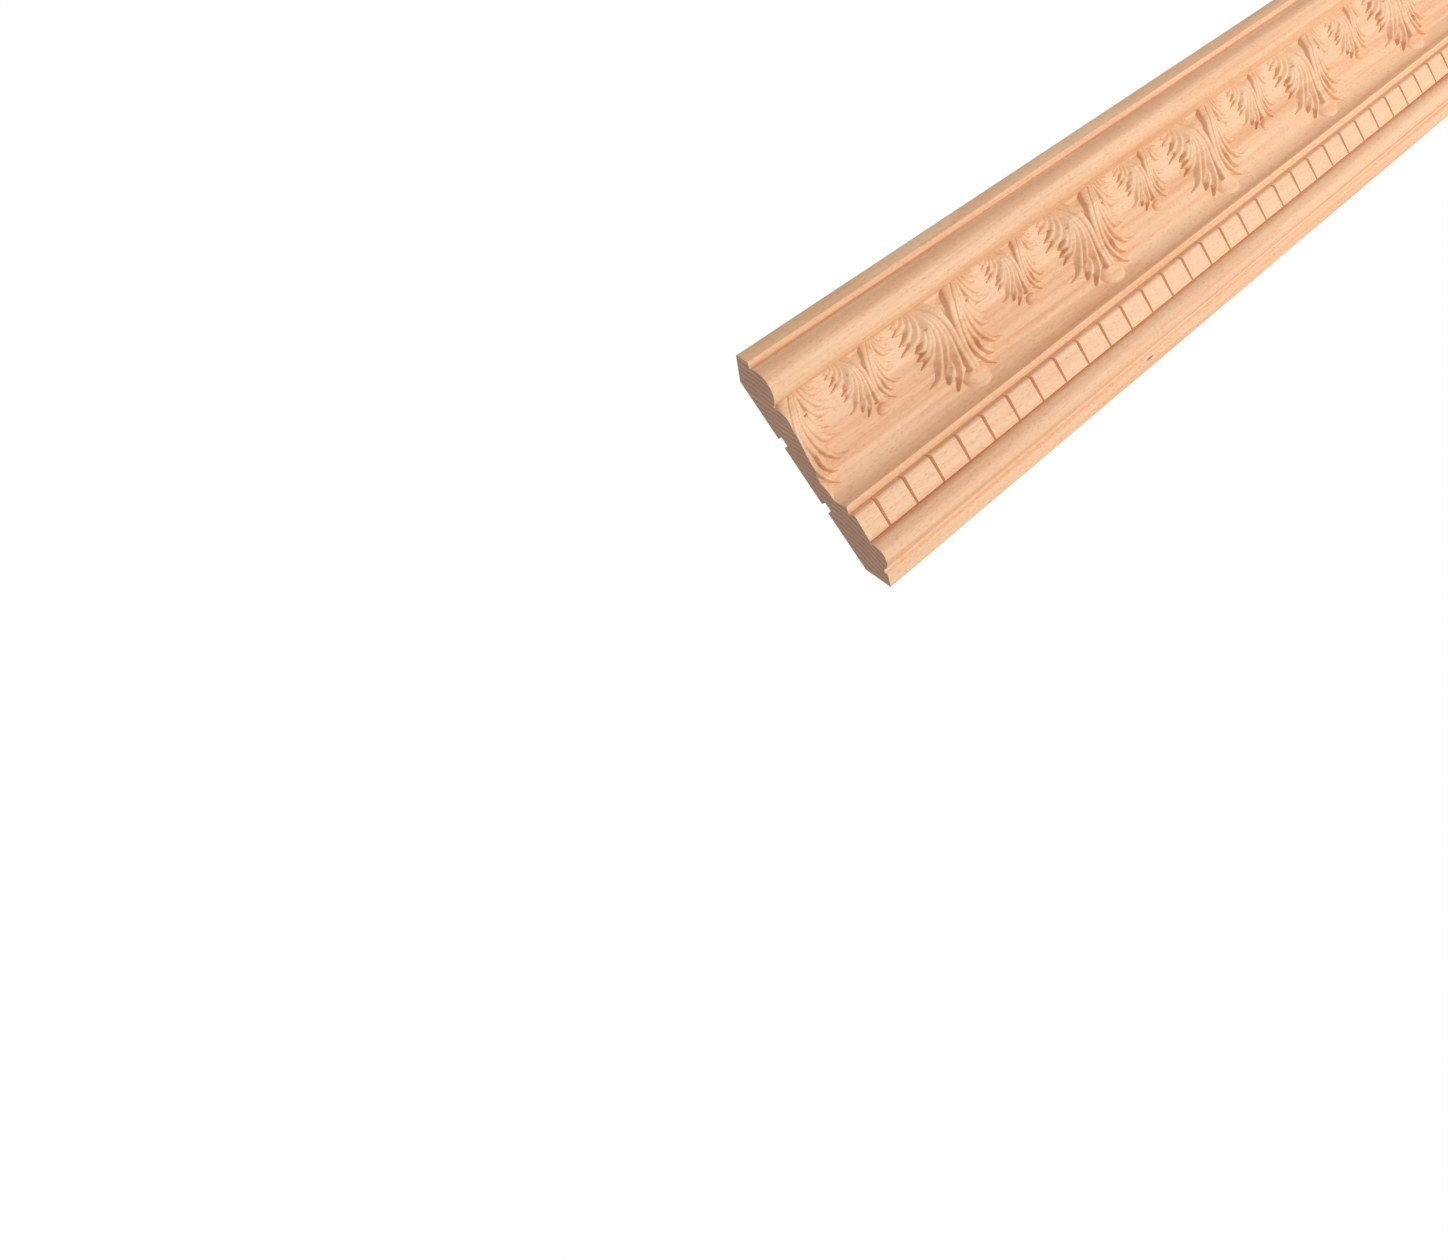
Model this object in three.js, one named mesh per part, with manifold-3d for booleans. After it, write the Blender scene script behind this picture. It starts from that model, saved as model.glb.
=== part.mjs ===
// One length of carved crown moulding in beech, at the slope it has between a wall and a ceiling.
// Millimetres. X runs along the wall, +Y goes into the wall, +Z up to the ceiling.
// The origin is at mid-length, in the middle of the bearing face that lies on the wall.

import * as THREE from 'three';
import { mergeVertices } from 'three/addons/utils/BufferGeometryUtils.js';
import Module from 'manifold-3d';

const wasm = await Module();
wasm.setup();

// The length and the board it is cut from
const length = 1000;
const faceWidth = 114;
const edgeDepth = 9.9;
const springAngle = Math.PI / 4;

// Section of the face from the ceiling edge down: how wide each member is, and how far its end stands
// proud of the straight line between the two edges of the face
const topFillet = { width: 5.2, out: 4.8 };
const topQuirk = { width: 2.4, out: 2.9 };
const crownBead = { width: 18.3, out: 2.2, bulge: 6.2 };
const friezeQuirk = { width: 1.0, out: 1.9 };
const cove = { lowerWidth: 11.5, out: 6.6, troughOut: -1.8 };
const ledge = { width: 3.3, out: 4.7 };
const dentilRise = { width: 1.2, out: 7.6 };
const dentilEase = { width: 0.9, out: 8.1 };
const dentilFace = { width: 11.7, out: 6.9 };
const dentilQuirk = { width: 0.7, out: 4.6 };
const footBeadRise = { width: 0.6, out: 6.6 };
const footBead = { width: 12.0, out: 3.3, bulge: 5.0 };
const footQuirk = { width: 1.2, out: 2.9 };
const footArris = { width: 1.5, out: 3.6 };
const footFillet = { width: 5.6 };

// Two relief slots along the back
const backSlot = { width: 4.5, depth: 3, fromMiddle: 16.3 };

// The carving: one large and one small leaf in each repeat, and the dentils in step with them
const leafPitch = 100;
const leafStart = -4.6;
const leafTipGap = 4;
const leafRelief = 5;
const smallLeafShare = 0.65;
const tongueShare = { large: 0.167, small: 0.115 };
const dentilsPerRepeat = 6;
const dentilGroove = { width: 1.5, depth: 2 };
const sunk = 1.2;

// Chords in each curved member of the section
const beadChords = 10;
const coveChords = 12;

// Down-the-face and out-of-the-face distances become Y and Z
const cos = Math.cos(springAngle);
const sin = Math.sin(springAngle);
const toY = (down, out) => (down - faceWidth) * cos - out * sin;
const toZ = (down, out) => (faceWidth - down) * sin - out * cos - edgeDepth * sin;

// Walks down the face and keeps the outline of the section
const outline = [[0, 0]];
const here = () => outline.at(-1);

function slopeTo({ width, out }) {
  outline.push([here()[0] + width, out]);
}

function beadTo({ width, out, bulge }) {
  const [down, from] = here();
  const chord = Math.hypot(width, out - from);
  const radius = (chord * chord / 4 + bulge * bulge) / (2 * bulge);
  const half = Math.asin(Math.min(1, chord / 2 / radius));
  const lean = Math.atan2(out - from, width);
  for (let k = 1; k <= beadChords; k++) {
    const angle = half * (2 * k / beadChords - 1);
    const along = chord / 2 + radius * Math.sin(angle);
    const rise = radius * (Math.cos(angle) - Math.cos(half));
    outline.push([
      down + along * Math.cos(lean) - rise * Math.sin(lean),
      from + along * Math.sin(lean) + rise * Math.cos(lean),
    ]);
  }
}

// The cove is one arc down to its trough and a tighter one out to the ledge
const membersBelow = [ledge, dentilRise, dentilEase, dentilFace, dentilQuirk, footBeadRise, footBead,
  footQuirk, footArris, footFillet];
const coveTop = topFillet.width + topQuirk.width + crownBead.width + friezeQuirk.width;
const coveEnd = faceWidth - membersBelow.reduce((sum, member) => sum + member.width, 0);
const trough = coveEnd - cove.lowerWidth;

function arcRise(run, fullRun, fullRise) {
  const radius = (fullRun * fullRun + fullRise * fullRise) / (2 * fullRise);
  return radius - Math.sqrt(radius * radius - run * run);
}

function coveOut(down) {
  const run = down - trough;
  const upper = arcRise(Math.min(run, 0), trough - coveTop, friezeQuirk.out - cove.troughOut);
  const lower = arcRise(Math.max(run, 0), coveEnd - trough, cove.out - cove.troughOut);
  return cove.troughOut + upper + lower;
}

function coveTo() {
  for (let k = 1; k <= coveChords; k++) {
    const down = coveTop + (coveEnd - coveTop) * k / coveChords;
    outline.push([down, coveOut(down)]);
  }
}

slopeTo(topFillet);
slopeTo(topQuirk);
beadTo(crownBead);
slopeTo(friezeQuirk);
coveTo();
slopeTo(ledge);
const dentilTop = here()[0];
slopeTo(dentilRise);
slopeTo(dentilEase);
slopeTo(dentilFace);
slopeTo(dentilQuirk);
const dentilFoot = here()[0];
slopeTo(footBeadRise);
beadTo(footBead);
slopeTo(footQuirk);
slopeTo(footArris);
slopeTo({ width: footFillet.width, out: 0 });

// The back: bearing faces on wall and ceiling, and a flat between them with the two slots
outline.push([faceWidth - edgeDepth, -edgeDepth]);
for (const side of [1, -1]) {
  const middle = faceWidth / 2 + side * backSlot.fromMiddle;
  const floor = backSlot.depth - edgeDepth;
  outline.push([middle + backSlot.width / 2, -edgeDepth]);
  outline.push([middle + backSlot.width / 2, floor]);
  outline.push([middle - backSlot.width / 2, floor]);
  outline.push([middle - backSlot.width / 2, -edgeDepth]);
}
outline.push([edgeDepth, -edgeDepth]);

// A closed triangle mesh becomes a solid, with its faces turned outwards
function solidFrom(positions, triangles) {
  const make = (corners) => new wasm.Manifold(new wasm.Mesh({
    numProp: 3,
    vertProperties: new Float32Array(positions),
    triVerts: new Uint32Array(corners),
  }));
  const solid = make(triangles);
  return solid.volume() > 0 ? solid : make([...triangles].reverse());
}

function solidOf(geometry) {
  geometry.deleteAttribute('normal');
  geometry.deleteAttribute('uv');
  const merged = mergeVertices(geometry);
  return solidFrom(merged.attributes.position.array, merged.index.array);
}

// A point on the frieze: sideways, down from the quirk above the cove, and height over its ground
const onFrieze = ([side, drop, height]) => {
  const down = coveTop + drop;
  const out = coveOut(Math.min(down, coveEnd)) + height;
  return [side, toY(down, out), toZ(down, out)];
};

// A prism through two end rings of points
function prism(start, end) {
  const count = start.length;
  const triangles = [];
  for (let k = 0; k < count; k++) {
    const next = (k + 1) % count;
    triangles.push(k, next, next + count, k, next + count, k + count);
  }
  for (let k = 1; k + 1 < count; k++) {
    triangles.push(0, k + 1, k, count, count + k, count + k + 1);
  }
  return solidFrom([...start, ...end].flat(), triangles);
}

// A relief patch on the frieze gets a skirt and an underside, both sunk into the ground
function reliefSolid(points, triangles) {
  const count = points.length;
  const positions = [
    ...points.flatMap(onFrieze),
    ...points.flatMap(([side, drop]) => onFrieze([side, drop, -sunk])),
  ];
  const corners = triangles.flat();
  const edges = new Set();
  for (const [a, b, c] of triangles) {
    corners.push(c + count, b + count, a + count);
    for (const edge of [[a, b], [b, c], [c, a]]) edges.add(String(edge));
  }
  for (const edge of edges) {
    const [a, b] = edge.split(',').map(Number);
    if (!edges.has(String([b, a]))) corners.push(b, a, a + count, b, a + count, b + count);
  }
  return solidFrom(positions, corners);
}

// The lobes of one side of a leaf, from the tongue up to the quirk. Each has a ridge from its root over
// a bend to its tip, in shares of the leaf's length, sideways and down.
const lobes = [
  { root: [0.11, 0.60], bend: [0.185, 0.74], tip: [0.27, 0.89] },
  { root: [0.14, 0.48], bend: [0.25, 0.66], tip: [0.32, 0.79] },
  { root: [0.16, 0.36], bend: [0.33, 0.60], tip: [0.51, 0.73] },
  { root: [0.19, 0.27], bend: [0.36, 0.46], tip: [0.49, 0.53] },
  { root: [0.22, 0.20], bend: [0.38, 0.37], tip: [0.485, 0.44] },
  { root: [0.25, 0.14], bend: [0.38, 0.275], tip: [0.45, 0.36] },
  { root: [0.27, 0.09], bend: [0.47, 0.215], tip: [0.615, 0.32] },
  { root: [0.30, 0.05], bend: [0.49, 0.10], tip: [0.61, 0.135] },
];
const lobesOfSmall = lobes.filter((lobe, k) => k !== 1 && k !== 4);
const lobeStart = { root: [0.09, 0.70], notch: [0.115, 0.83] };
const lobeEnd = { root: [0.28, 0.005], notch: [0.42, 0.005] };
const notchShare = 0.42;

// The two grooves that funnel down from the quirk, and the stem between them
const funnel = [[0.05, 0.85], [0.045, 0.62], [0.065, 0.36], [0.10, 0.15], [0.22, 0.005]];
const stem = [[0, 0.85], [0, 0.62], [0, 0.36], [0, 0.15], [0, 0.005]];
const tongue = { drop: 0.875, half: 0.118, high: 0.68 };

// Heights as shares of the leaf's relief: it swells from the quirk and thins towards the tongue
const high = { root: 1, bend: 0.66, tip: 0.3, notch: 0.26, funnel: 0.62, stem: 0.84 };
const swelling = { atQuirk: 0.3, fullFrom: 0.175, thinFrom: 0.4, thinTo: 0.7, atTongue: 0.65 };
const ramp = (value, from, to) => Math.min(Math.max((value - from) / (to - from), 0), 1);
const mix = (from, to, share) => from + (to - from) * share;
const swell = (drop) => mix(swelling.atQuirk, 1, ramp(drop, 0, swelling.fullFrom))
  * mix(1, swelling.atTongue, ramp(drop, swelling.thinFrom, swelling.thinTo));

// The notch between two neighbouring lobes lies between their bends and their tips
const between = (a, b, share) => [mix(a[0], b[0], share), mix(a[1], b[1], share)];
const notchOf = (lobe, next) =>
  between(between(lobe.bend, next.bend, 0.5), between(lobe.tip, next.tip, 0.5), notchShare);

// Joins two rows of points that both run up the leaf, always stepping to whichever point comes next
function stitch(outer, inner, dropOf, add) {
  for (let i = 0, j = 0; i + 1 < outer.length || j + 1 < inner.length;) {
    const atInnerEnd = j + 1 === inner.length;
    const atOuterEnd = i + 1 === outer.length;
    if (atInnerEnd || (!atOuterEnd && dropOf(outer[i + 1]) >= dropOf(inner[j + 1]))) {
      add(inner[j], outer[i], outer[i + 1]);
      i++;
    } else {
      add(inner[j], outer[i], inner[j + 1]);
      j++;
    }
  }
}

function leaf(reach, relief, tongueHalf, shapes) {
  const points = [];
  const triangles = [];
  const vertex = (side, [across, drop], height) => {
    const point = [side * across * reach, drop * reach, height * swell(drop) * relief];
    const known = points.findIndex((other) => String(other) === String(point));
    return known >= 0 ? known : points.push(point) - 1;
  };
  for (const side of [1, -1]) {
    const add = (a, b, c) => triangles.push(side > 0 ? [a, b, c] : [a, c, b]);
    const roots = [lobeStart.root, ...shapes.map((lobe) => lobe.root), lobeEnd.root]
      .map((spot) => vertex(side, spot, high.root));
    const gaps = shapes.slice(1).map((next, k) => notchOf(shapes[k], next));
    const notches = [lobeStart.notch, ...gaps, lobeEnd.notch].map((spot) => vertex(side, spot, high.notch));
    shapes.forEach((lobe, k) => {
      const [below, above] = [notches[k], notches[k + 1]];
      const root = roots[k + 1];
      const bend = vertex(side, lobe.bend, high.bend);
      const tip = vertex(side, lobe.tip, high.tip);
      add(below, tip, bend);
      add(below, bend, root);
      add(root, bend, above);
      add(bend, tip, above);
    });
    notches.forEach((notch, k) => add(roots[k], notch, roots[k + 1]));
    const grooves = funnel.map((spot) => vertex(side, spot, high.funnel));
    const middle = stem.map((spot) => vertex(side, spot, high.stem));
    const dropOf = (index) => points[index][1];
    stitch([notches[0], ...roots], grooves, dropOf, add);
    stitch(grooves, middle, dropOf, add);
  }
  const ball = new THREE.SphereGeometry(1, 10, 6);
  ball.rotateX(Math.PI / 2);
  ball.scale(tongueHalf, tongue.half * reach, relief * tongue.high);
  ball.translate(0, tongue.drop * reach, 0);
  const spots = ball.attributes.position;
  for (let k = 0; k < spots.count; k++) {
    spots.setXYZ(k, ...onFrieze([spots.getX(k), spots.getY(k), Math.max(spots.getZ(k), -sunk)]));
  }
  return reliefSolid(points, triangles).add(solidOf(ball));
}

// The plain moulding
const corners = outline.map(([down, out]) => new THREE.Vector2(toY(down, out), toZ(down, out)));
const section = new THREE.Shape(corners);
const run = new THREE.ExtrudeGeometry(section, { depth: length, bevelEnabled: false });
const alongX = new THREE.Matrix4().makeBasis(
  new THREE.Vector3(0, 1, 0), new THREE.Vector3(0, 0, 1), new THREE.Vector3(1, 0, 0));
run.applyMatrix4(alongX);
run.translate(-length / 2, 0, 0);
let moulding = solidOf(run);

// Leaves along the frieze, those at the ends cut off with the board
const reach = coveEnd - coveTop - leafTipGap;
const large = leaf(reach, leafRelief, tongueShare.large * reach, lobes);
const smallReach = reach * smallLeafShare;
const smallRelief = leafRelief * smallLeafShare;
const small = leaf(smallReach, smallRelief, tongueShare.small * smallReach, lobesOfSmall);
const board = new THREE.BoxGeometry(length, 4 * faceWidth, 4 * faceWidth);
const withinEnds = solidOf(board);
const halfRepeat = leafPitch / 2;
const halfRepeats = Math.ceil((length + leafPitch) / halfRepeat);
for (let k = 0; k < halfRepeats; k++) {
  const x = -length / 2 + leafStart + k * halfRepeat;
  const copy = (k % 2 ? small : large).translate([x, 0, 0]);
  moulding = moulding.add(copy.intersect(withinEnds));
}

// V grooves that part the dentils, one in line with each large leaf
const dentilPitch = leafPitch / dentilsPerRepeat;
const deepest = Math.min(dentilFace.out, dentilEase.out) - dentilGroove.depth;
const clear = Math.max(dentilFace.out, dentilEase.out) + dentilGroove.depth;
const spread = dentilGroove.width / 2 * (clear - deepest) / dentilGroove.depth;
const grooveRing = (down) => [[0, deepest], [spread, clear], [-spread, clear]]
  .map(([side, out]) => [side, toY(down, out), toZ(down, out)]);
const groove = prism(grooveRing(dentilTop), grooveRing(dentilFoot));
for (let x = -length / 2 + leafStart + dentilPitch; x < length / 2 - dentilGroove.width; x += dentilPitch) {
  moulding = moulding.subtract(groove.translate([x, 0, 0]));
}

// The wood
const mesh = moulding.getMesh();
const geometry = new THREE.BufferGeometry();
geometry.setAttribute('position', new THREE.BufferAttribute(new Float32Array(mesh.vertProperties), 3));
geometry.setIndex(new THREE.BufferAttribute(new Uint32Array(mesh.triVerts), 1));
const beech = new THREE.MeshStandardMaterial({ color: 0xe2b088, roughness: 0.6, metalness: 0 });
const crownMoulding = new THREE.Mesh(geometry, beech);
crownMoulding.name = 'crown_moulding';

const group = new THREE.Group();
group.add(crownMoulding);

export default group;
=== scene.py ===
"""The looks of one length of carved crown moulding in beech.

The moulding is shaped on the bench, in millimetres: X along it, Y up its face and Z out of it. Distances
down the face are measured from its ceiling edge. It is then turned to the slope between wall and ceiling.
"""
import math

import bmesh
import bpy
import numpy as np
from mathutils import Matrix, Vector


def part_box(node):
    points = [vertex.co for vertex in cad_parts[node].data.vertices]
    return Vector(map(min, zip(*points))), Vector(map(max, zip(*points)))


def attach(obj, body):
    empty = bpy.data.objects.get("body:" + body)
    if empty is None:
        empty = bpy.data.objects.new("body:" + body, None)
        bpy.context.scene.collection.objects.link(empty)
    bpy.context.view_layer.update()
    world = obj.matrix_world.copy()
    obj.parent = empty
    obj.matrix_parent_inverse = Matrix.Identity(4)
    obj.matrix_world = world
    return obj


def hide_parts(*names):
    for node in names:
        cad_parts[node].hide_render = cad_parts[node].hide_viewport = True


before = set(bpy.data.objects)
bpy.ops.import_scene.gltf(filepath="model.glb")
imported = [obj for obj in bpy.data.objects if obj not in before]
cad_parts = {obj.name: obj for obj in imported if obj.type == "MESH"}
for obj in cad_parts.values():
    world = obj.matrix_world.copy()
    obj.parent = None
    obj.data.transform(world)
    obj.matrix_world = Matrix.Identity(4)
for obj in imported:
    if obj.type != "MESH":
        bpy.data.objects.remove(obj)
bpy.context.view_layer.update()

# The board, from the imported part: it leans at 45 degrees, and its foot is cut off square to the slope
MM = 0.001
SLOPE = math.radians(45)
low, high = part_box("crown_moulding")
LENGTH = (high.x - low.x) / MM
EDGE_DEPTH = -low.z / math.sin(SLOPE) / MM
FACE_WIDTH = high.z / math.sin(SLOPE) / MM + EDGE_DEPTH

# Members of the face from the ceiling edge down: (width, how far the end stands out of the face line)
TOP_FILLET = (5.2, 4.8)
TOP_QUIRK = (2.4, 2.9)
CROWN_BEAD = (18.3, 2.2)
CROWN_BULGE = 6.2
FRIEZE_QUIRK = (1.0, 1.9)
COVE_LOWER_WIDTH = 11.5
COVE_END_OUT = 6.6
TROUGH_OUT = -1.8
LEDGE = (3.3, 4.7)
DENTIL_RISE = (1.2, 7.6)
DENTIL_EASE = (0.9, 8.1)
DENTIL_FACE = (11.7, 6.9)
DENTIL_QUIRK = (0.7, 4.6)
FOOT_BEAD_RISE = (0.6, 6.6)
FOOT_BEAD = (12.0, 3.3)
FOOT_BULGE = 5.0
FOOT_QUIRK = (1.2, 2.9)
FOOT_ARRIS = (1.5, 3.6)
FOOT_FILLET = (5.6, 0)
BACK_SLOT_WIDTH, BACK_SLOT_DEPTH, BACK_SLOT_FROM_MIDDLE = 4.5, 3, 16.3

# Chords in the curved members, and how much is sanded off the outer corners that are sharper than this
BEAD_CHORDS = 28
COVE_CHORDS = 36
EASED = 0.3
SHARP_CORNER = math.radians(20)

# The carving
LEAF_PITCH = 100
LEAF_START = -4.6
SMALL_LEAF = 0.65
DENTIL_PITCH = LEAF_PITCH / 6
GROOVE_WIDTH, GROOVE_DEPTH = 1.2, 2

COVE_TOP = TOP_FILLET[0] + TOP_QUIRK[0] + CROWN_BEAD[0] + FRIEZE_QUIRK[0]
BELOW_COVE = (LEDGE, DENTIL_RISE, DENTIL_EASE, DENTIL_FACE, DENTIL_QUIRK, FOOT_BEAD_RISE, FOOT_BEAD,
              FOOT_QUIRK, FOOT_ARRIS, FOOT_FILLET)
COVE_END = FACE_WIDTH - sum(width for width, out in BELOW_COVE)
TROUGH = COVE_END - COVE_LOWER_WIDTH
DENTIL_TOP = COVE_END + LEDGE[0]
DENTIL_FOOT = DENTIL_TOP + DENTIL_RISE[0] + DENTIL_EASE[0] + DENTIL_FACE[0] + DENTIL_QUIRK[0]


def ramp(value, start, end):
    return np.clip((value - start) / (end - start), 0, 1)


def ease(value, start, end):
    share = ramp(value, start, end)
    return share * share * (3 - 2 * share)


def arc_rise(run, full_run, full_rise):
    radius = (full_run ** 2 + full_rise ** 2) / (2 * full_rise)
    return radius - np.sqrt(radius ** 2 - run ** 2)


def cove_out(down):
    """How far the cove's ground stands out: a gentle arc down to its trough, then a tighter one."""
    run = np.clip(down, COVE_TOP, COVE_END) - TROUGH
    upper = arc_rise(np.minimum(run, 0), TROUGH - COVE_TOP, FRIEZE_QUIRK[1] - TROUGH_OUT)
    lower = arc_rise(np.maximum(run, 0), COVE_LOWER_WIDTH, COVE_END_OUT - TROUGH_OUT)
    return TROUGH_OUT + upper + lower


# Section

def slope_to(outline, member):
    outline.append((outline[-1][0] + member[0], member[1]))


def bead_to(outline, member, bulge):
    down, start = outline[-1]
    width, out = member
    chord = math.hypot(width, out - start)
    radius = (chord ** 2 / 4 + bulge ** 2) / (2 * bulge)
    half = math.asin(min(1, chord / 2 / radius))
    lean = math.atan2(out - start, width)
    for k in range(1, BEAD_CHORDS + 1):
        angle = half * (2 * k / BEAD_CHORDS - 1)
        run = chord / 2 + radius * math.sin(angle)
        rise = radius * (math.cos(angle) - math.cos(half))
        outline.append((down + run * math.cos(lean) - rise * math.sin(lean),
                        start + run * math.sin(lean) + rise * math.cos(lean)))


def face_outline():
    outline = [(0, 0)]
    for member in (TOP_FILLET, TOP_QUIRK):
        slope_to(outline, member)
    bead_to(outline, CROWN_BEAD, CROWN_BULGE)
    slope_to(outline, FRIEZE_QUIRK)
    for k in range(1, COVE_CHORDS + 1):
        down = COVE_TOP + (COVE_END - COVE_TOP) * k / COVE_CHORDS
        outline.append((down, float(cove_out(down))))
    for member in (LEDGE, DENTIL_RISE, DENTIL_EASE, DENTIL_FACE, DENTIL_QUIRK, FOOT_BEAD_RISE):
        slope_to(outline, member)
    bead_to(outline, FOOT_BEAD, FOOT_BULGE)
    for member in (FOOT_QUIRK, FOOT_ARRIS, FOOT_FILLET):
        slope_to(outline, member)
    return outline


def back_outline():
    """The back from its foot up, with a bearing strip at each edge and two relief slots between."""
    outline = [(FACE_WIDTH - EDGE_DEPTH, -EDGE_DEPTH)]
    for side in (1, -1):
        middle = FACE_WIDTH / 2 + side * BACK_SLOT_FROM_MIDDLE
        near, far = middle + BACK_SLOT_WIDTH / 2, middle - BACK_SLOT_WIDTH / 2
        floor = BACK_SLOT_DEPTH - EDGE_DEPTH
        outline += [(near, -EDGE_DEPTH), (near, floor), (far, floor), (far, -EDGE_DEPTH)]
    return outline + [(EDGE_DEPTH, -EDGE_DEPTH)]


def object_from(bm, name):
    mesh = bpy.data.meshes.new(name)
    bm.to_mesh(mesh)
    bm.free()
    obj = bpy.data.objects.new(name, mesh)
    bpy.context.scene.collection.objects.link(obj)
    return obj


def with_modifier(obj, kind, **settings):
    """Adds a modifier, applies it, and returns the object."""
    modifier = obj.modifiers.new(kind.lower(), kind)
    for name, value in settings.items():
        setattr(modifier, name, value)
    finished = bpy.data.meshes.new_from_object(obj.evaluated_get(bpy.context.evaluated_depsgraph_get()))
    obj.modifiers.clear()
    obj.data = finished
    return obj


def push(bm, face, vec):
    """Extrudes a face."""
    run = bmesh.ops.extrude_face_region(bm, geom=[face])
    moved = [v for v in run["geom"] if isinstance(v, bmesh.types.BMVert)]
    bmesh.ops.translate(bm, verts=moved, vec=vec)


def planed_board(length):
    """The moulding before carving, with its outer corners eased."""
    bm = bmesh.new()
    corners = [bm.verts.new((-length / 2, -down, out)) for down, out in face_outline() + back_outline()]
    push(bm, bm.faces.new(corners), (length, 0, 0))
    bmesh.ops.recalc_face_normals(bm, faces=bm.faces)
    arrises = [e for e in bm.edges if abs((e.verts[0].co - e.verts[1].co).x) > length / 2
               and e.calc_face_angle_signed(0) > SHARP_CORNER]
    bmesh.ops.bevel(bm, geom=arrises, offset=EASED, offset_type="OFFSET", affect="EDGES", segments=3,
                    profile=0.5, material=-1, clamp_overlap=True)
    return object_from(bm, "board")


def dentil_cutters():
    """One V cutter for each gap between dentils, in step with the leaves."""
    deepest = min(DENTIL_FACE[1], DENTIL_EASE[1]) - GROOVE_DEPTH
    clear = max(DENTIL_FACE[1], DENTIL_EASE[1]) + GROOVE_DEPTH
    half_top = GROOVE_WIDTH / 2 * (clear - deepest) / GROOVE_DEPTH
    bm = bmesh.new()
    first = -LENGTH / 2 + LEAF_START + DENTIL_PITCH
    count = int((LENGTH / 2 - GROOVE_WIDTH - first) / DENTIL_PITCH) + 1
    for k in range(count):
        x = first + k * DENTIL_PITCH
        ring = [(x, deepest), (x + half_top, clear), (x - half_top, clear)]
        face = bm.faces.new([bm.verts.new((px, -DENTIL_TOP, out)) for px, out in ring])
        push(bm, face, (0, DENTIL_TOP - DENTIL_FOOT, 0))
    bmesh.ops.recalc_face_normals(bm, faces=bm.faces)
    return object_from(bm, "dentil_cutters")


# Leaves. Sideways and down are millimetres on a large leaf, from its middle and from its head.
LEAF_HEAD = 25.5
LEAF_RELIEF = 5.4
LEAF_HALF = 30.0
LEAF_DROP = 48
UNDER_GROUND = 0.6
BLOCK_FOOT = -4
# Grid spacing on a leaf of each size, and triangles of its carved side
LEAF_GRID = {1: (0.25, 12000), SMALL_LEAF: (0.2, 5500)}
# Each finger is folded: steep below its ridge, with a long easy slope above it
FOLD = 2.1
FOLD_CURVE = 1.4
STEEP_SIDE, EASY_SIDE = 0.85, 3.5
# The path of each ridge from the head of the leaf to the finger's tip, and its half width there
FINGERS = [
    ([(12.4, 0.2), (8.4, 6), (5.8, 13), (4.5, 21), (4.9, 29), (7.6, 36.6), (12.8, 41.6)], 0.5),
    ([(9.2, 28.8), (10.8, 33.0), (14.8, 37.0)], 0.4),
    ([(13.6, 0.2), (9.8, 6.6), (7.6, 13), (7.2, 20), (9.8, 27), (13.6, 31.9)], 0.5),
    ([(15, 0.4), (11.8, 6.6), (10.0, 13), (11.0, 20.6), (14.2, 27.6), (18.6, 32.6), (24.6, 33.4)], 0.45),
    ([(11.6, 9.8), (12.4, 15.4), (16.2, 22.2), (23.3, 24.5)], 0.4),
    ([(12.8, 12.0), (14.4, 16.0), (17.6, 19.8), (22.9, 20.4)], 0.4),
    ([(14.6, 11.6), (16.4, 14.8), (18.4, 17.0), (21.6, 17.0)], 0.4),
    ([(15.8, 0.6), (16.0, 6.2), (19.6, 12.6), (29.0, 14.8)], 0.45),
    ([(17.6, 0.6), (19.0, 5.2), (22.6, 9.6), (27.4, 10.6)], 0.4),
    ([(20.0, 0.5), (22.4, 4.0), (28.2, 5.4)], 0.4),
    ([(22.4, 0.4), (24.4, 1.4), (27.6, 1.9)], 0.4),
]
LEFT_OFF_SMALL = 6
# A finger's half width at its root, where it is broadest, and between which shares of its length that is
FINGER_ROOT, FINGER_HALF = 0.6, 1.75
BROADEST = (0.3, 0.7)
# How much a tip sinks and its easy side narrows, and from which share of the finger's length
TIP_SINKS, SINKS_FROM = 0.5, 0.7
TIP_NARROWS, NARROWS_FROM = 0.6, 0.6
FINGER_CROWN = 0.5
# The edge of the leaf's web, which has a notch between fingers
BLADE = [(-1, 35), (4.4, 36.6), (7.6, 38.8), (10.6, 39.0), (10.2, 35.8), (12.8, 36.2), (13.8, 34.6),
         (14.8, 32.8), (22.8, 33.4), (22.8, 25.0), (19.6, 22.8), (20.8, 20.6), (18.8, 18.6), (19.8, 17.2),
         (17.6, 15.0), (25.6, 14.2), (22.6, 11.2), (25.4, 10.2), (20.6, 7.2), (26.0, 5.4), (22.6, 3.2),
         (25.4, 1.8), (24.6, -1), (-1, -1)]
WEB_EDGE, WEB_SLOPE = 0.2, 2.2
# The rolled edges that come in from the head and run down to the tongue side by side
ROLL = [(9.6, -0.6), (6.9, 3.0), (4.5, 7.6), (2.7, 13), (1.7, 19), (1.3, 27), (1.2, 40)]
ROLL_SHARES = (0, 0.2, 0.6, 1)
ROLL_HALF = (2.3, 1.9, 1.45, 1.35)
ROLL_PROUD, ROLL_ROUND, ROLL_WALL = 0.2, 0.6, 3.2
ROLL_FOOT = 38
GROOVE_SUNK, GROOVE_SIDE = 1.0, 1.5
# The sunk wedge between the rolls: half width at the head, and how far down it comes to a point
CALYX = (6.0, 12.5)
CALYX_SUNK = 2.2
# Eyes between fingers: from, to and half width, which tapers
EYES = [((13.4, 10.6), (15.2, 10.1), 0.65), ((8.5, 26.8), (8.9, 28.4), 0.6)]
EYE_DEPTH, EYE_TAPER = 1.8, 0.65
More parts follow.
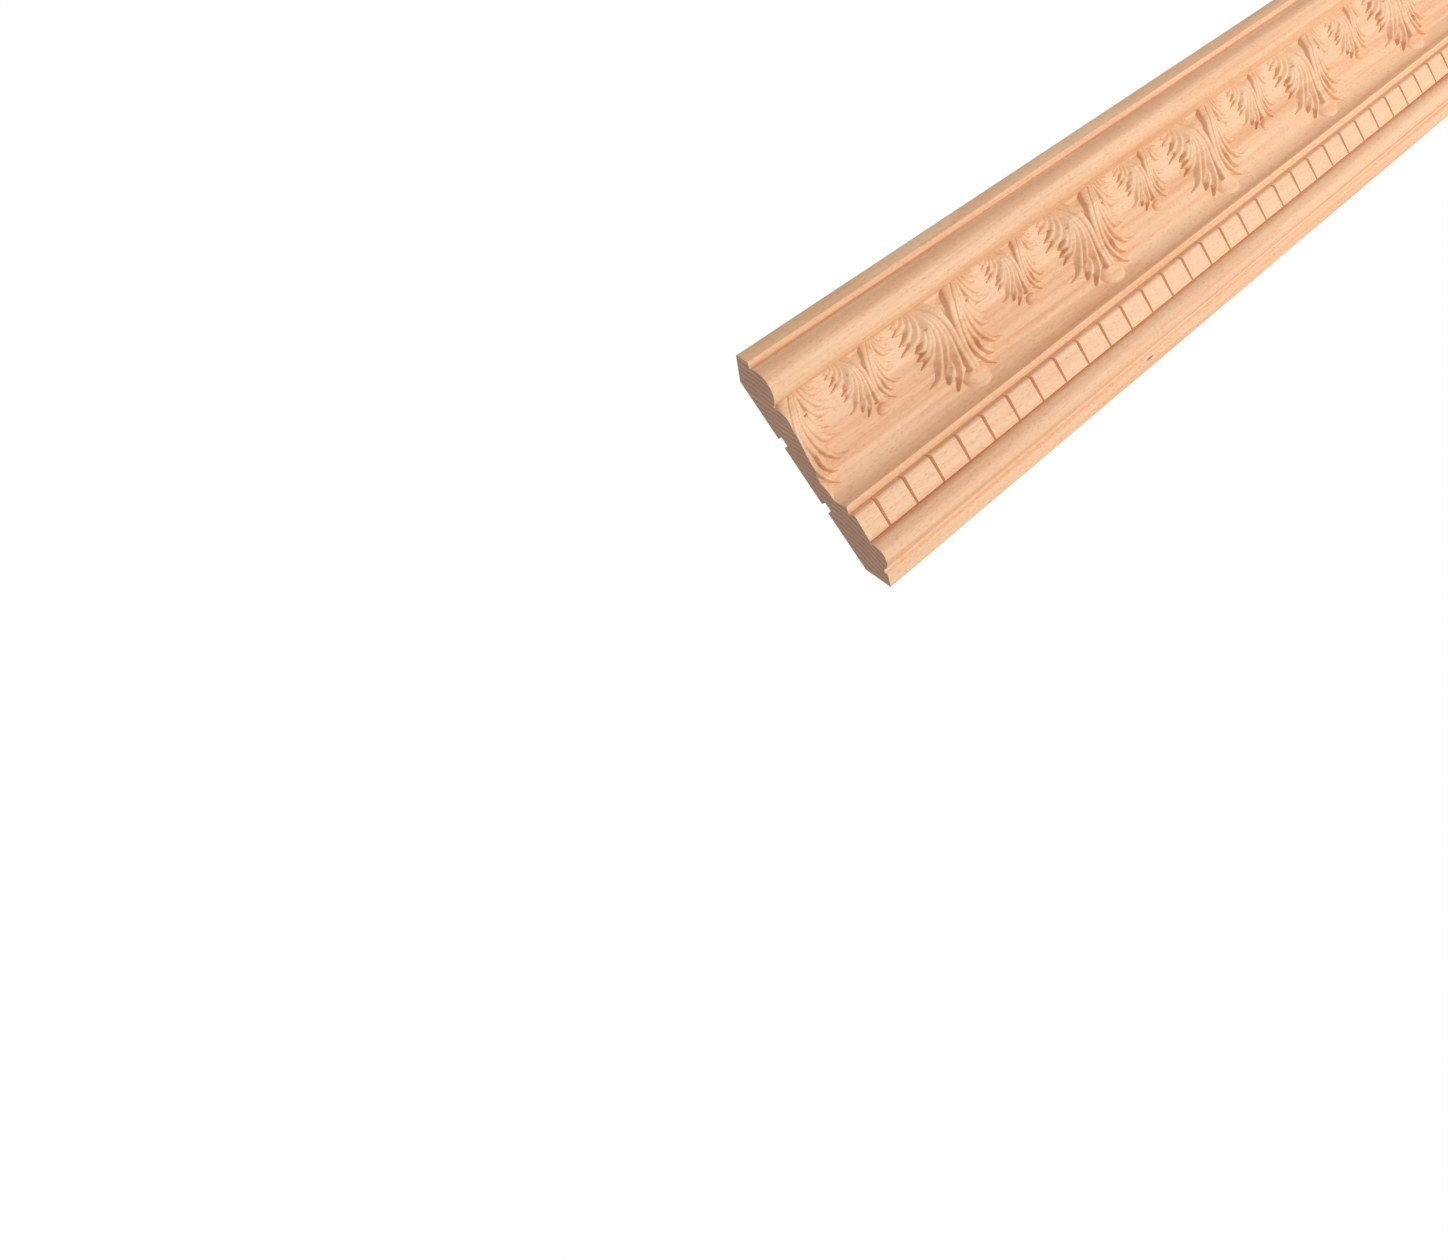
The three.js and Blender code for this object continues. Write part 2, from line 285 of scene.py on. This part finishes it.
# Tongue: half width, half height, middle and how proud it stands, on the leaf of each size
TONGUE = {1: (8.0, 5.6, 40.9, 2.2), SMALL_LEAF: (3.7, 3.0, 28.1, 1.4)}
LIP_DEPTH, LIP_SHARE, LIP_WIDTH = 0.5, 0.8, 0.08
PATH_STEPS = 5
FAR = 1e9
BURIED = -9.0


def swept(points):
    """A smooth path through the points."""
    p = np.array(points, float)
    ends = np.vstack([2 * p[0] - p[1], p, 2 * p[-1] - p[-2]])
    path = []
    for a, b, c, d in zip(ends, ends[1:], ends[2:], ends[3:]):
        for t in np.arange(PATH_STEPS) / PATH_STEPS:
            path.append(b + 0.5 * ((c - a) * t + (2 * a - 5 * b + 4 * c - d) * t ** 2
                                   + (3 * b - a - 3 * c + d) * t ** 3))
    return np.array(path + [p[-1]])


def along(x, q, path):
    """Distance from a path, the share of it passed at the nearest point, and whether that lies above it."""
    steps = np.diff(path, axis=0)
    lengths = np.hypot(*steps.T)
    starts = np.cumsum(lengths) - lengths
    distance, share, above = np.full(x.shape, FAR), np.zeros(x.shape), np.zeros(x.shape, bool)
    for (ax, aq), (dx, dq), length, start in zip(path, steps, lengths, starts):
        t = np.clip(((x - ax) * dx + (q - aq) * dq) / length ** 2, 0, 1)
        d = np.hypot(x - ax - t * dx, q - aq - t * dq)
        nearer = d < distance
        share = np.where(nearer, (start + t * length) / lengths.sum(), share)
        above = np.where(nearer, dx * (q - aq) < dq * (x - ax), above)
        distance = np.minimum(d, distance)
    return distance, share, above


def inside(x, q, polygon):
    """Distance from the edge of a polygon, positive inside it."""
    distance, odd = np.full(x.shape, FAR), np.zeros(x.shape, bool)
    for (ax, aq), (bx, bq) in zip(polygon, polygon[1:] + polygon[:1]):
        distance = np.minimum(distance, along(x, q, np.array([(ax, aq), (bx, bq)], float))[0])
        if aq != bq:
            odd ^= ((aq > q) != (bq > q)) & (x < (bx - ax) * (q - aq) / (bq - aq) + ax)
    return np.where(odd, distance, -distance)


def swell(x, q):
    """The leaf rises from the quirk and thins towards the tongue and the sides."""
    rise = 0.25 + 0.75 * ease(q, -1, 9)
    thin = 1 - 0.35 * ease(q, 14, 29)
    side = 1 - 0.7 * ease(x, 2, 30)
    return LEAF_RELIEF * rise * thin * side


def folded_fingers(x, q, crest, small):
    """Fingers folded over each other on the web, with their tips standing free of it."""
    folds, tips = crest - FOLD, np.full(x.shape, BURIED)
    for k, (points, tip_half) in enumerate(FINGERS):
        if small and k == LEFT_OFF_SMALL:
            continue
        distance, share, above = along(x, q, swept(points))
        top = crest * (1 - TIP_SINKS * ramp(share, SINKS_FROM, 1) ** 2)
        easy_side = EASY_SIDE * (1 - TIP_NARROWS * ramp(share, NARROWS_FROM, 1))
        across = np.clip(distance / np.where(above, easy_side, STEEP_SIDE), 0, 1)
        folds = np.maximum(folds, top - FOLD * across ** FOLD_CURVE)
        t = distance / np.interp(share, (0, *BROADEST, 1), (FINGER_ROOT, FINGER_HALF, FINGER_HALF, tip_half))
        tips = np.maximum(tips, top - FINGER_CROWN * t ** 2 - crest * t ** 5)
    return np.maximum(np.minimum(folds, inside(x, q, BLADE) * WEB_SLOPE + WEB_EDGE), tips)


def with_eyes(height, x, q, crest):
    """Eyes are drilled where fingers part."""
    for start, end, half in EYES:
        distance, share, _ = along(x, q, np.array([start, end]))
        drilled = distance / (half * (1 - EYE_TAPER * share))
        height = np.minimum(height, crest - EYE_DEPTH * (1 - np.clip(drilled, 0, 2) ** 2))
    return height


def with_rolls(height, x, q, crest):
    """The calyx is sunk between the rolls, and each roll lies between two grooves."""
    half, deep = CALYX
    calyx = np.minimum(height, crest - CALYX_SUNK)
    height = np.where(x < half * (1 - q / deep), calyx, height)
    distance, share, _ = along(x, q, swept(ROLL))
    roll_half = np.interp(share, ROLL_SHARES, ROLL_HALF)
    across, beyond = np.minimum(distance / roll_half, 1), np.maximum(distance - roll_half, 0)
    roll = crest + ROLL_PROUD - ROLL_ROUND * across ** 3 - ROLL_WALL * beyond
    beside = np.minimum(height, crest - GROOVE_SUNK + GROOVE_SIDE * beyond)
    return np.where(q < ROLL_FOOT, np.maximum(beside, roll), height)


def with_tongue(height, sideways, down, size):
    """The tongue is a low oval with a lip round its lower half."""
    wide, tall, middle, proud = TONGUE[size]
    t = np.hypot(sideways / wide, (down - middle) / tall)
    lip = LIP_DEPTH * np.exp(-((t - LIP_SHARE) / LIP_WIDTH) ** 2) * ease(down, middle, middle + tall)
    return np.maximum(height, proud * (1 - t ** 4) - lip)


def leaf_height(sideways, down, size):
    """How far the carving stands over the cove's ground."""
    x, q = np.abs(sideways) / size, down / size
    crest = swell(x, q)
    height = folded_fingers(x, q, crest, size < 1)
    height = with_eyes(height, x, q, crest)
    height = with_rolls(height, x, q, crest)
    return np.maximum(with_tongue(height * size, sideways, down, size), -UNDER_GROUND)


def carved_leaf(size):
    """A block whose upper side is the leaf, standing out of the cove where it is higher."""
    half, drop = LEAF_HALF * size, LEAF_DROP * size
    spacing, triangles = LEAF_GRID[size]
    bm = bmesh.new()
    bmesh.ops.create_grid(bm, x_segments=round(half / spacing), y_segments=round(drop / spacing), size=0.5)
    bmesh.ops.translate(bm, verts=bm.verts, vec=(0.5, -0.5, 0))
    bmesh.ops.scale(bm, verts=bm.verts, vec=(half, drop, 1))
    spots = np.array([v.co for v in bm.verts])
    outs = cove_out(LEAF_HEAD - spots[:, 1]) + leaf_height(spots[:, 0], -spots[:, 1], size)
    for v, out in zip(bm.verts, outs):
        v.co.z = out
    bmesh.ops.translate(bm, verts=bm.verts, vec=(0, -LEAF_HEAD, 0))
    bmesh.ops.mirror(bm, geom=bm.verts[:] + bm.edges[:] + bm.faces[:], axis="X", merge_dist=spacing / 100)
    bmesh.ops.recalc_face_normals(bm, faces=bm.faces)
    block = object_from(bm, "leaf")
    with_modifier(block, "SMOOTH", factor=0.5, iterations=2, use_x=False, use_y=False)
    with_modifier(block, "DECIMATE", ratio=triangles / (2 * len(block.data.polygons)))
    close_block(block)
    return block


def close_block(block):
    """Turns the carved side upwards and closes the block under it."""
    bm = bmesh.new()
    bm.from_mesh(block.data)
    if sum(f.normal.z for f in bm.faces) < 0:
        bmesh.ops.reverse_faces(bm, faces=bm.faces)
    skirt = bmesh.ops.extrude_edge_only(bm, edges=[e for e in bm.edges if e.is_boundary])["geom"]
    for v in (v for v in skirt if isinstance(v, bmesh.types.BMVert)):
        v.co.z = BLOCK_FOOT
    foot = [e for e in skirt if isinstance(e, bmesh.types.BMEdge) and e.is_boundary]
    bmesh.ops.edgeloop_fill(bm, edges=foot)
    bmesh.ops.recalc_face_normals(bm, faces=bm.faces)
    bm.to_mesh(block.data)
    bm.free()


def row_of_leaves(large, small):
    """Large and small leaves by turns, the first before the left end and the last past the right one."""
    bm = bmesh.new()
    count = math.ceil((LENGTH + LEAF_PITCH) / LEAF_PITCH * 2)
    for k in range(count):
        before = len(bm.verts)
        bm.from_mesh((small if k % 2 else large).data)
        bm.verts.ensure_lookup_table()
        bmesh.ops.translate(bm, verts=bm.verts[before:],
                            vec=(-LENGTH / 2 + LEAF_START + k * LEAF_PITCH / 2, 0, 0))
    return object_from(bm, "leaves")


def carved_board():
    """The planed board with its dentils cut and its leaves standing out, overlong at both ends."""
    board = planed_board(LENGTH + 2 * LEAF_PITCH)
    cutters = dentil_cutters()
    large, small = carved_leaf(1), carved_leaf(SMALL_LEAF)
    leaves = row_of_leaves(large, small)
    with_modifier(board, "BOOLEAN", operation="DIFFERENCE", solver="MANIFOLD", object=cutters)
    with_modifier(board, "BOOLEAN", operation="UNION", solver="MANIFOLD", object=leaves)
    for spent in (cutters, large, small, leaves):
        bpy.data.objects.remove(spent)
    board.name = "carved_moulding"
    board.data.materials.clear()
    return board


def cut_square_and_hang(moulding):
    """Cuts both ends square, with the second material on them, and turns the moulding to its slope."""
    bm = bmesh.new()
    bm.from_mesh(moulding.data)
    for side in (-1, 1):
        end = side * LENGTH / 2
        cut = bmesh.ops.bisect_plane(bm, geom=bm.verts[:] + bm.edges[:] + bm.faces[:], dist=1e-4,
                                     plane_co=(end, 0, 0), plane_no=(side, 0, 0), clear_outer=True)
        rim = [e for e in cut["geom_cut"] if isinstance(e, bmesh.types.BMEdge)]
        for face in bmesh.ops.contextual_create(bm, geom=rim)["faces"]:
            face.material_index = 1
    bmesh.ops.triangulate(bm, faces=[f for f in bm.faces if len(f.verts) > 4])
    above_foot = (FACE_WIDTH - EDGE_DEPTH) * math.sin(SLOPE)
    to_slope = (Matrix.Scale(MM, 4)
                @ Matrix.Translation((0, -FACE_WIDTH * math.cos(SLOPE), above_foot))
                @ Matrix.Rotation(math.pi - SLOPE, 4, "X"))
    bmesh.ops.transform(bm, matrix=to_slope, verts=bm.verts)
    bmesh.ops.recalc_face_normals(bm, faces=bm.faces)
    bm.to_mesh(moulding.data)
    bm.free()
    moulding.data.shade_smooth()
    moulding.data.set_sharp_from_angle(angle=math.radians(32))


# Finishes. The grain runs along X, and the tree's rings stand round a pith that lies behind the wall.
PITH = (0, 0.21, 0.07)
RING_SPACING = 0.0027
PEACH, ROSE = (0.88, 0.57, 0.35), (0.76, 0.41, 0.225)
FLECK_BROWN = (0.46, 0.20, 0.085)
# Two small dark marks in the face: place, half length along the grain, half width
MARKS = [((-0.460, -0.0339, 0.0281), 0.0019, 0.0006),
         ((-0.318, -0.0052, -0.0059), 0.0032, 0.0008)]
MARK_BROWN = (0.24, 0.095, 0.03)
# Redder bands that run the whole length of the board: where they cross a section, half width and strength.
# The band across the foot bead is partly the wood's own colour and partly painted shade on the bead's lower
# part, where it turns downwards.
BANDS_AND_PAINTED_SHADE = [((0, -0.0781, 0.0605), 0.0045, 0.7),
         ((0, -0.0120, -0.0034), 0.0042, 0.8),
         ((0, -0.0640, 0.0520), 0.0026, 0.6)]
BAND_RAGGED = 2.4
END_PALE, END_DARK = (0.64, 0.39, 0.26), (0.45, 0.26, 0.175)
WHITE = (1, 1, 1, 1)


def fill_in(tree, node, inputs):
    """Joins or fills a node's inputs."""
    for socket, value in inputs.items():
        if isinstance(value, bpy.types.NodeSocket):
            tree.links.new(value, node.inputs[socket])
        else:
            node.inputs[socket].default_value = value


def put(tree, kind, inputs, **settings):
    """Adds a node, sets it up, and joins or fills its inputs."""
    node = tree.nodes.new("ShaderNode" + kind)
    for name, value in settings.items():
        setattr(node, name, value)
    fill_in(tree, node, inputs)
    return node


def maths(tree, operation, *values):
    return put(tree, "Math", dict(enumerate(values)), operation=operation).outputs[0]


def spread(tree, value, start, end, low=0.0, high=1.0):
    inputs = {"Value": value, "From Min": start, "From Max": end, "To Min": low, "To Max": high}
    return put(tree, "MapRange", inputs, interpolation_type="SMOOTHSTEP").outputs["Result"]


def mixed(tree, share, first, second, blend="MIX"):
    inputs = {0: share}
    for socket, colour in ((6, first), (7, second)):
        inputs[socket] = colour if isinstance(colour, bpy.types.NodeSocket) else (*colour, 1)
    return put(tree, "Mix", inputs, data_type="RGBA", blend_type=blend).outputs[2]


def stretched_noise(tree, place, scale, detail, roughness=0.5):
    stretched = put(tree, "Mapping", {"Vector": place, "Scale": scale}).outputs[0]
    inputs = {"Vector": stretched, "Scale": 1, "Detail": detail, "Roughness": roughness}
    return put(tree, "TexNoise", inputs).outputs[0]


def away_from(tree, place, spot, shares):
    """Distance from a spot, with each axis counted by its own share."""
    off = put(tree, "VectorMath", {0: place, 1: spot}, operation="SUBTRACT").outputs[0]
    off = put(tree, "VectorMath", {0: off, 1: shares}, operation="MULTIPLY").outputs[0]
    return put(tree, "VectorMath", {0: off}, operation="LENGTH").outputs["Value"]


def beech_figure():
    """Node group: rings, streaks, ray flecks and pores of beech at a place in the board."""
    tree = bpy.data.node_groups.new("beech_figure", "ShaderNodeTree")
    tree.interface.new_socket("Place", in_out="INPUT", socket_type="NodeSocketVector")
    for name in ("Ring Spacing", "Open From", "Open To", "Open Depth"):
        tree.interface.new_socket(name, in_out="INPUT", socket_type="NodeSocketFloat")
    for name in ("Rings", "Streaks", "Flecks", "Pores", "Open Pores"):
        tree.interface.new_socket(name, in_out="OUTPUT", socket_type="NodeSocketFloat")
    given = tree.nodes.new("NodeGroupInput").outputs
    place = given["Place"]

    waver = maths(tree, "SUBTRACT", stretched_noise(tree, place, (1.6, 14, 14), 2), 0.5)
    tremble = maths(tree, "SUBTRACT", stretched_noise(tree, place, (7, 130, 130), 3), 0.5)
    radius = maths(tree, "MULTIPLY_ADD", waver, 0.022, away_from(tree, place, PITH, (0, 1, 1)))
    radius = maths(tree, "MULTIPLY_ADD", tremble, 0.0026, radius)
    year = maths(tree, "FRACT", maths(tree, "DIVIDE", radius, given["Ring Spacing"]))
    rings = maths(tree, "MULTIPLY", spread(tree, year, 0.3, 0.9), spread(tree, year, 1.0, 0.88))

    streaks = spread(tree, stretched_noise(tree, place, (3.0, 95, 95), 4, 0.6), 0.42, 0.74)

    cells = put(tree, "Mapping", {"Vector": place, "Scale": (280, 1700, 1700)}).outputs[0]
    dots = put(tree, "TexVoronoi", {"Vector": cells, "Scale": 1, "Randomness": 1})
    chance = put(tree, "SeparateColor", {0: dots.outputs["Color"]}).outputs[0]
    flecks = maths(tree, "MULTIPLY", spread(tree, dots.outputs["Distance"], 0.42, 0.15),
                   spread(tree, chance, 0.2, 0.65))

    pores = stretched_noise(tree, place, (420, 5200, 5200), 2, 0.6)
    open_pores = spread(tree, pores, given["Open From"], given["Open To"], 0, given["Open Depth"])

    fill_in(tree, tree.nodes.new("NodeGroupOutput"), {
        "Rings": rings, "Streaks": streaks, "Flecks": flecks, "Pores": pores, "Open Pores": open_pores})
    return tree


def material(name):
    """A new material, its node tree and shader, and the piece's own coordinates in it."""
    made = bpy.data.materials.new(name)
    made.use_nodes = True
    tree = made.node_tree
    place = put(tree, "TexCoord", {}).outputs["Object"]
    return made, tree, tree.nodes["Principled BSDF"], place


def bumped(tree, height, distance):
    """The normal of a surface that is as deep as the height says."""
    sunk = maths(tree, "MULTIPLY", height, -1)
    return put(tree, "Bump", {"Height": sunk, "Distance": distance, "Strength": 1}).outputs["Normal"]


def banded(tree, place, red_and_painted_shade):
    """Adds the redder bands, with ragged edges, to how red the surface is painted; the band on the foot bead
    is partly painted shade.
    """
    ragged = maths(tree, "SUBTRACT", stretched_noise(tree, place, (4, 420, 420), 3, 0.6), 0.5)
    for spot, half_width, strength in BANDS_AND_PAINTED_SHADE:
        off = away_from(tree, place, spot, (0, 1 / half_width, 1 / half_width))
        off = maths(tree, "MULTIPLY_ADD", ragged, BAND_RAGGED, off)
        red_and_painted_shade = maths(tree, "MAXIMUM", red_and_painted_shade, spread(tree, off, 1.1, 0.2, 0, strength))
    return red_and_painted_shade


def marks(tree, place):
    """Where the small dark marks are."""
    marked = 0
    for spot, long_half, short_half in MARKS:
        off = away_from(tree, place, spot, (1 / long_half, 1 / short_half, 1 / short_half))
        marked = maths(tree, "MAXIMUM", marked, spread(tree, off, 1.2, 0.5, 0, 0.75))
    return marked


def beech_long_grain(figure):
    """Sanded beech along the grain: peach with redder streaks, faint rings, brown flecks and fine pores."""
    made, tree, shader, place = material("beech_long_grain")
    wood = put(tree, "Group", {"Place": place, "Ring Spacing": RING_SPACING, "Open From": 0.50,
                               "Open To": 0.72, "Open Depth": 0.30}, node_tree=figure).outputs
    # The redder bands are the wood's streaks, and on the foot bead's lower part also painted shade.
    colour = mixed(tree, banded(tree, place, wood["Streaks"]), PEACH, ROSE)
    patchy = spread(tree, stretched_noise(tree, place, (4, 45, 45), 2), 0.3, 0.7, 0.02, 0.22)
    colour = mixed(tree, maths(tree, "MULTIPLY", wood["Rings"], patchy), colour, ROSE, "MULTIPLY")
    colour = mixed(tree, wood["Open Pores"], colour, ROSE, "MULTIPLY")
    colour = mixed(tree, maths(tree, "MULTIPLY", wood["Flecks"], 0.4), colour, FLECK_BROWN)
    colour = mixed(tree, marks(tree, place), colour, MARK_BROWN)

    matt = spread(tree, wood["Streaks"], 0, 1, 0.50, 0.60)
    depth = maths(tree, "MULTIPLY_ADD", wood["Rings"], 0.35, wood["Pores"])
    depth = maths(tree, "MULTIPLY_ADD", wood["Flecks"], 0.2, depth)
    fill_in(tree, shader, {
        "Base Color": colour, "Roughness": maths(tree, "MULTIPLY_ADD", wood["Pores"], 0.12, matt),
        "Specular IOR Level": 0.35, "Normal": bumped(tree, depth, 0.00005)})
    return made


def beech_end_grain(figure):
    """Sawn ends: duller and darker, with the rings cut across and open pores."""
    made, tree, shader, place = material("beech_end_grain")
    wood = put(tree, "Group", {"Place": place, "Ring Spacing": RING_SPACING, "Open From": 0.52,
                               "Open To": 0.64, "Open Depth": 0.6}, node_tree=figure).outputs
    colour = mixed(tree, wood["Rings"], END_PALE, END_DARK)
    colour = mixed(tree, maths(tree, "MULTIPLY", wood["Streaks"], 0.3), colour, END_DARK)
    colour = mixed(tree, wood["Open Pores"], colour, END_DARK)
    fill_in(tree, shader, {
        "Base Color": colour, "Roughness": spread(tree, wood["Pores"], 0.3, 0.7, 0.68, 0.86),
        "Specular IOR Level": 0.2, "Normal": bumped(tree, wood["Pores"], 0.0001)})
    return made


moulding = carved_board()
cut_square_and_hang(moulding)
figure = beech_figure()
moulding.data.materials.append(beech_long_grain(figure))
moulding.data.materials.append(beech_end_grain(figure))

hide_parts("crown_moulding")
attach(moulding, "root")

# Studio: the moulding hangs at ceiling height over a pale floor
FLOOR_DROP = 2.4
FLOOR_HALF = 12
# White all round, but dimmer as a light than it looks
FILL = 0.42


def pale_floor():
    bm = bmesh.new()
    bmesh.ops.create_grid(bm, x_segments=1, y_segments=1, size=FLOOR_HALF)
    bmesh.ops.translate(bm, verts=bm.verts, vec=(0, 0, -FLOOR_DROP))
    floor = object_from(bm, "floor")
    made, tree, shader, place = material("pale_floor")
    mottle = put(tree, "TexNoise", {"Vector": place, "Scale": 900}).outputs[0]
    tone = spread(tree, mottle, 0.2, 0.8, 0.86, 0.90)
    grey = put(tree, "CombineColor", {0: tone, 1: tone, 2: tone}).outputs[0]
    fill_in(tree, shader, {"Base Color": grey, "Roughness": 0.9})
    floor.data.materials.append(made)
    return floor


def white_surroundings():
    world = bpy.data.worlds.new("studio")
    bpy.context.scene.world = world
    world.use_nodes = True
    tree = world.node_tree
    seen = tree.nodes["Background"]
    fill_in(tree, seen, {"Color": WHITE, "Strength": 1})
    fill = put(tree, "Background", {"Color": WHITE, "Strength": FILL})
    camera_ray = put(tree, "LightPath", {}).outputs["Is Camera Ray"]
    both = put(tree, "MixShader", {0: camera_ray, 1: fill.outputs[0], 2: seen.outputs[0]})
    fill_in(tree, tree.nodes["World Output"], {"Surface": both.outputs[0]})
    bpy.context.scene.view_settings.view_transform = "Standard"


def soft_light(name, kind, place, target, power, **settings):
    data = bpy.data.lights.new(name, kind)
    data.energy = power
    for setting, value in settings.items():
        setattr(data, setting, value)
    light = bpy.data.objects.new(name, data)
    light.location = place
    light.rotation_euler = (Vector(target) - Vector(place)).to_track_quat("-Z", "Y").to_euler()
    bpy.context.scene.collection.objects.link(light)


pale_floor()
white_surroundings()
soft_light("key", "AREA", (0.47, -0.75, -1.25), (-0.2, 0, 0), 15.5, shape="DISK", size=0.4)
soft_light("sky", "SUN", (0, 0.6, 2), (0, 0, 0), 1.1, angle=math.radians(60))

# The camera looks up along the moulding from below its left end. Its lens is shifted, so that it points at
# a row of pixels above the middle of the picture.
PICTURE_WIDTH, PICTURE_HEIGHT = 1448, 1260
AIMED_ROW = 450
camera_data = bpy.data.cameras.new("camera")
camera = bpy.data.objects.new("camera", camera_data)
camera.location = (-0.7064, -0.3536, -0.2096)
camera.rotation_euler = [math.radians(a) for a in (143.531, 40.872, 10.182)]
camera_data.lens = 27.234
camera_data.sensor_width = 36
camera_data.clip_start = 0.01
camera_data.shift_y = (AIMED_ROW - PICTURE_HEIGHT / 2) / PICTURE_WIDTH
bpy.context.scene.collection.objects.link(camera)
bpy.context.scene.camera = camera
